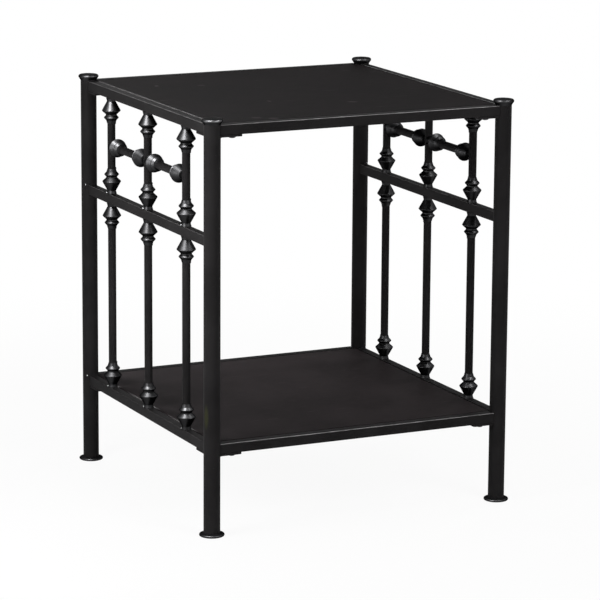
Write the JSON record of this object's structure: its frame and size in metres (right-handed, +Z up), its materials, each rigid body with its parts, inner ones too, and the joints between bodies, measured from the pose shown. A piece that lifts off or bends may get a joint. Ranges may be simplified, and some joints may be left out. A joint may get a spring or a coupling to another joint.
{
  "type": "nightstand",
  "caption": "Square black metal nightstand with two flat shelves, round legs and side panels of spindles with cast double collars.",
  "frame": {"origin": "on the floor, under the centre of the plan", "axes": "+X to the right seen from the open front, +Y to the back, +Z up"},
  "size_m": [0.5266, 0.5266, 0.636],
  "materials": {
    "frame_paint": "satin black powder coat on steel tube",
    "sheet_paint": "satin black powder coat on folded sheet",
    "casting_paint": "semi-gloss black paint on castings",
    "bare_steel": "zinc plated",
    "bolt_finish": "black bolt"
  },
  "bodies": {
    "root": {"leg_back_left": "frame_paint", "leg_cap_back_left": "casting_paint", "foot_back_left": "casting_paint", "leg_front_left": "frame_paint", "leg_cap_front_left": "casting_paint", "foot_front_left": "casting_paint", "rail_left_top": "frame_paint", "rail_left_middle": "frame_paint", "rail_left_bottom": "frame_paint", "spindle_left_upper_back": "frame_paint", "spindle_left_upper_middle": "frame_paint", "spindle_left_upper_front": "frame_paint", "collars_left_upper_foot": "casting_paint", "collars_left_upper_head": "casting_paint", "spindle_left_lower_back": "frame_paint", "spindle_left_lower_middle": "frame_paint", "spindle_left_lower_front": "frame_paint", "collars_left_lower_foot": "casting_paint", "collars_left_lower_head": "casting_paint", "tie_left_back": "frame_paint", "tie_collars_left_back": "casting_paint", "tie_left_front": "frame_paint", "tie_collars_left_front": "casting_paint", "leg_back_right": "frame_paint", "leg_cap_back_right": "casting_paint", "foot_back_right": "casting_paint", "leg_front_right": "frame_paint", "leg_cap_front_right": "casting_paint", "foot_front_right": "casting_paint", "rail_right_top": "frame_paint", "rail_right_middle": "frame_paint", "rail_right_bottom": "frame_paint", "spindle_right_upper_back": "frame_paint", "spindle_right_upper_middle": "frame_paint", "spindle_right_upper_front": "frame_paint", "collars_right_upper_foot": "casting_paint", "collars_right_upper_head": "casting_paint", "spindle_right_lower_back": "frame_paint", "spindle_right_lower_middle": "frame_paint", "spindle_right_lower_front": "frame_paint", "collars_right_lower_foot": "casting_paint", "collars_right_lower_head": "casting_paint", "tie_right_back": "frame_paint", "tie_collars_right_back": "casting_paint", "tie_right_front": "frame_paint", "tie_collars_right_front": "casting_paint", "rail_back_upper": "frame_paint", "rail_front_upper": "frame_paint", "shelf_sheet_upper": "sheet_paint", "corner_plates_upper": "frame_paint", "threaded_inserts_upper": "bare_steel", "shelf_bolts_upper": "bolt_finish", "rail_back_lower": "frame_paint", "rail_front_lower": "frame_paint", "shelf_sheet_lower": "sheet_paint", "corner_plates_lower": "frame_paint", "threaded_inserts_lower": "bare_steel", "shelf_bolts_lower": "bolt_finish"}
  },
  "joints": []
}
